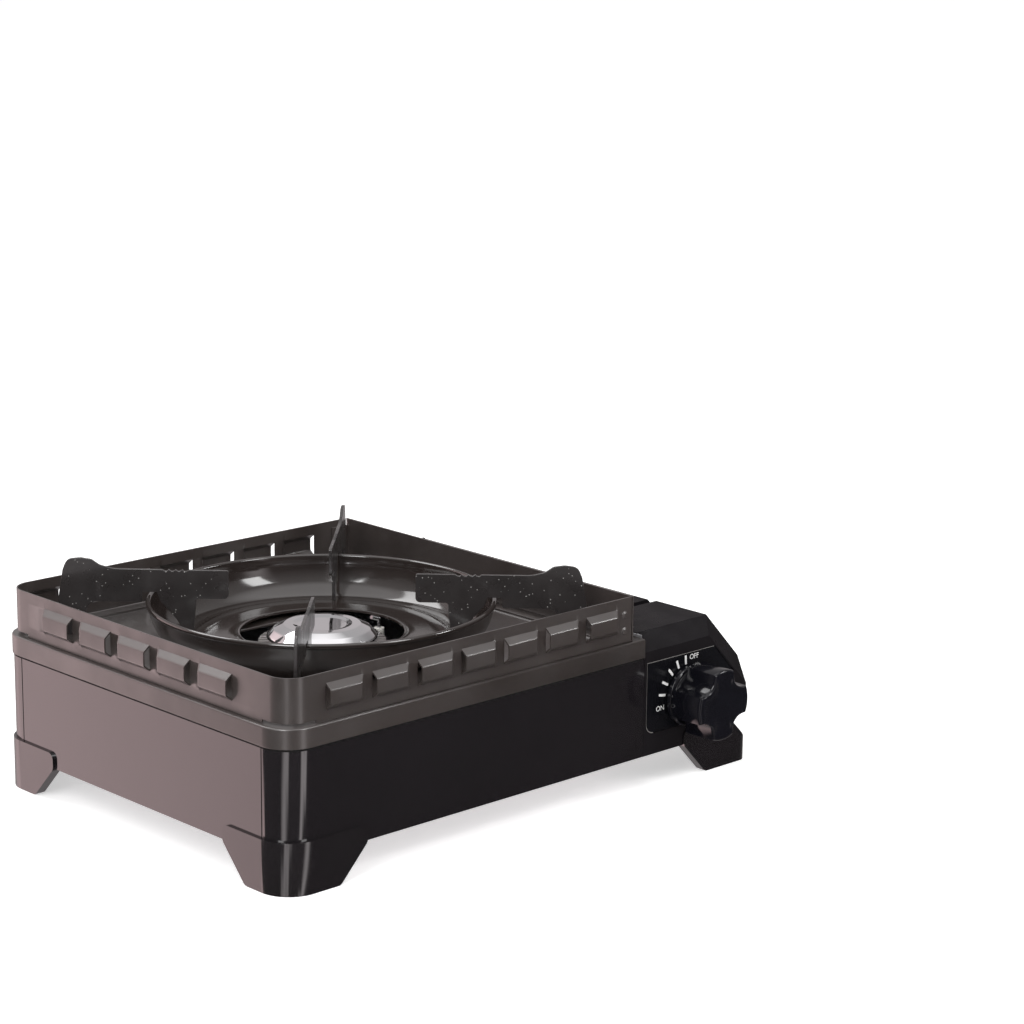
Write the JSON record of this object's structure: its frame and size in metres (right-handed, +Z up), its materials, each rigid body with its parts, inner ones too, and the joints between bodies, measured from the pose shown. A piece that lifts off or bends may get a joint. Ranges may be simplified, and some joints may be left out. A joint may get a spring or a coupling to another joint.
{
  "type": "butane cassette stove",
  "caption": "Square tabletop gas burner with a louvred wind guard, drip pan, pot supports, control knob and a side bay with a hinged lid for a gas canister.",
  "frame": {"origin": "on the table, under the middle of the overall box", "axes": "+X to the right along the width, from the burner towards the canister bay; +Y to the back; +Z up"},
  "size_m": [0.341, 0.2754, 0.129],
  "materials": {
    "guard_enamel": "gloss bronze-brown enamel",
    "body_paint": "gloss black-brown paint",
    "foot_paint": "satin black paint",
    "bay_paint": "satin black paint",
    "dial_face": "gloss black panel",
    "knob_plastic": "gloss black moulding",
    "cam_plastic": "natural moulding",
    "zinc_steel": "zinc-plated sheet",
    "screw_steel": "plated",
    "die_cast": "die cast",
    "brass": "turned",
    "copper_pipe": "drawn",
    "magnet": "ground",
    "chrome": "polished",
    "port_ring": "heat-darkened",
    "ceramic": "glazed ceramic",
    "lead_sleeve": "silicone sleeve",
    "pan_enamel": "gloss dark enamel",
    "support_enamel": "speckled enamel"
  },
  "bodies": {
    "housing": {"bottom_plate": "zinc_steel", "front_panel": "body_paint", "left_panel": "body_paint", "back_panel": "body_paint", "right_panel": "bay_paint", "partition": "zinc_steel", "foot_front_left": "foot_paint", "foot_back_left": "foot_paint", "foot_front_right": "foot_paint", "foot_back_right": "foot_paint", "bottom_screws": "screw_steel", "top_plate": "guard_enamel", "top_plate_screws": "screw_steel", "wind_guard": "guard_enamel", "guard_right_wall": "guard_enamel", "guard_rivets": "guard_enamel", "front_housing": "bay_paint", "control_plate": "dial_face", "regulator_bracket": "zinc_steel", "regulator": "die_cast", "safety_valve": "brass", "canister_seat": "die_cast", "seat_magnets": "magnet", "canister_guide": "zinc_steel", "canister_cradle": "zinc_steel", "gas_pipe": "copper_pipe", "injector": "brass", "mixing_tube": "die_cast", "burner_bowl": "die_cast", "burner_head": "port_ring", "burner_cap": "chrome", "burner_bracket": "zinc_steel", "heat_panel": "die_cast", "electrode_insulator": "ceramic", "electrode": "screw_steel", "igniter_lead": "lead_sleeve", "piezo_igniter": "cam_plastic", "lid_hinge_lugs": "zinc_steel", "lid_hinge_pin": "screw_steel"},
    "lid": {"canister_lid": "bay_paint", "lid_catch": "screw_steel"},
    "knob": {"knob": "knob_plastic", "valve_spindle": "brass", "ignition_cam": "cam_plastic"},
    "plunger": {"igniter_plunger": "cam_plastic"},
    "pan_unit": {"drip_pan": "pan_enamel", "pot_support_front": "support_enamel", "pot_support_right": "support_enamel", "pot_support_back": "support_enamel", "pot_support_left": "support_enamel"}
  },
  "joints": [
    {"name": "lid_hinge", "type": "hinge", "parent": "housing", "child": "lid", "pos_m": [0.0896, 0, 0.087], "axis": [0, -1, 0], "range_deg": [0, 95]},
    {"name": "knob_turn", "type": "hinge", "parent": "housing", "child": "knob", "pos_m": [0.1197, -0.10975, 0.048], "axis": [0, -1, 0], "range_deg": [0, 120]},
    {"name": "plunger_slide", "type": "slide", "parent": "housing", "child": "plunger", "axis": [-1, 0, 0], "range_m": [0, 0.0051]},
    {"name": "pan_lift", "type": "slide", "parent": "housing", "child": "pan_unit", "axis": [0, 0, 1], "range_m": [0, 0.06]}
  ],
  "couplings": [
    {"joint": "plunger_slide", "follows": "knob_turn", "m_per_rad": 0.002406}
  ]
}
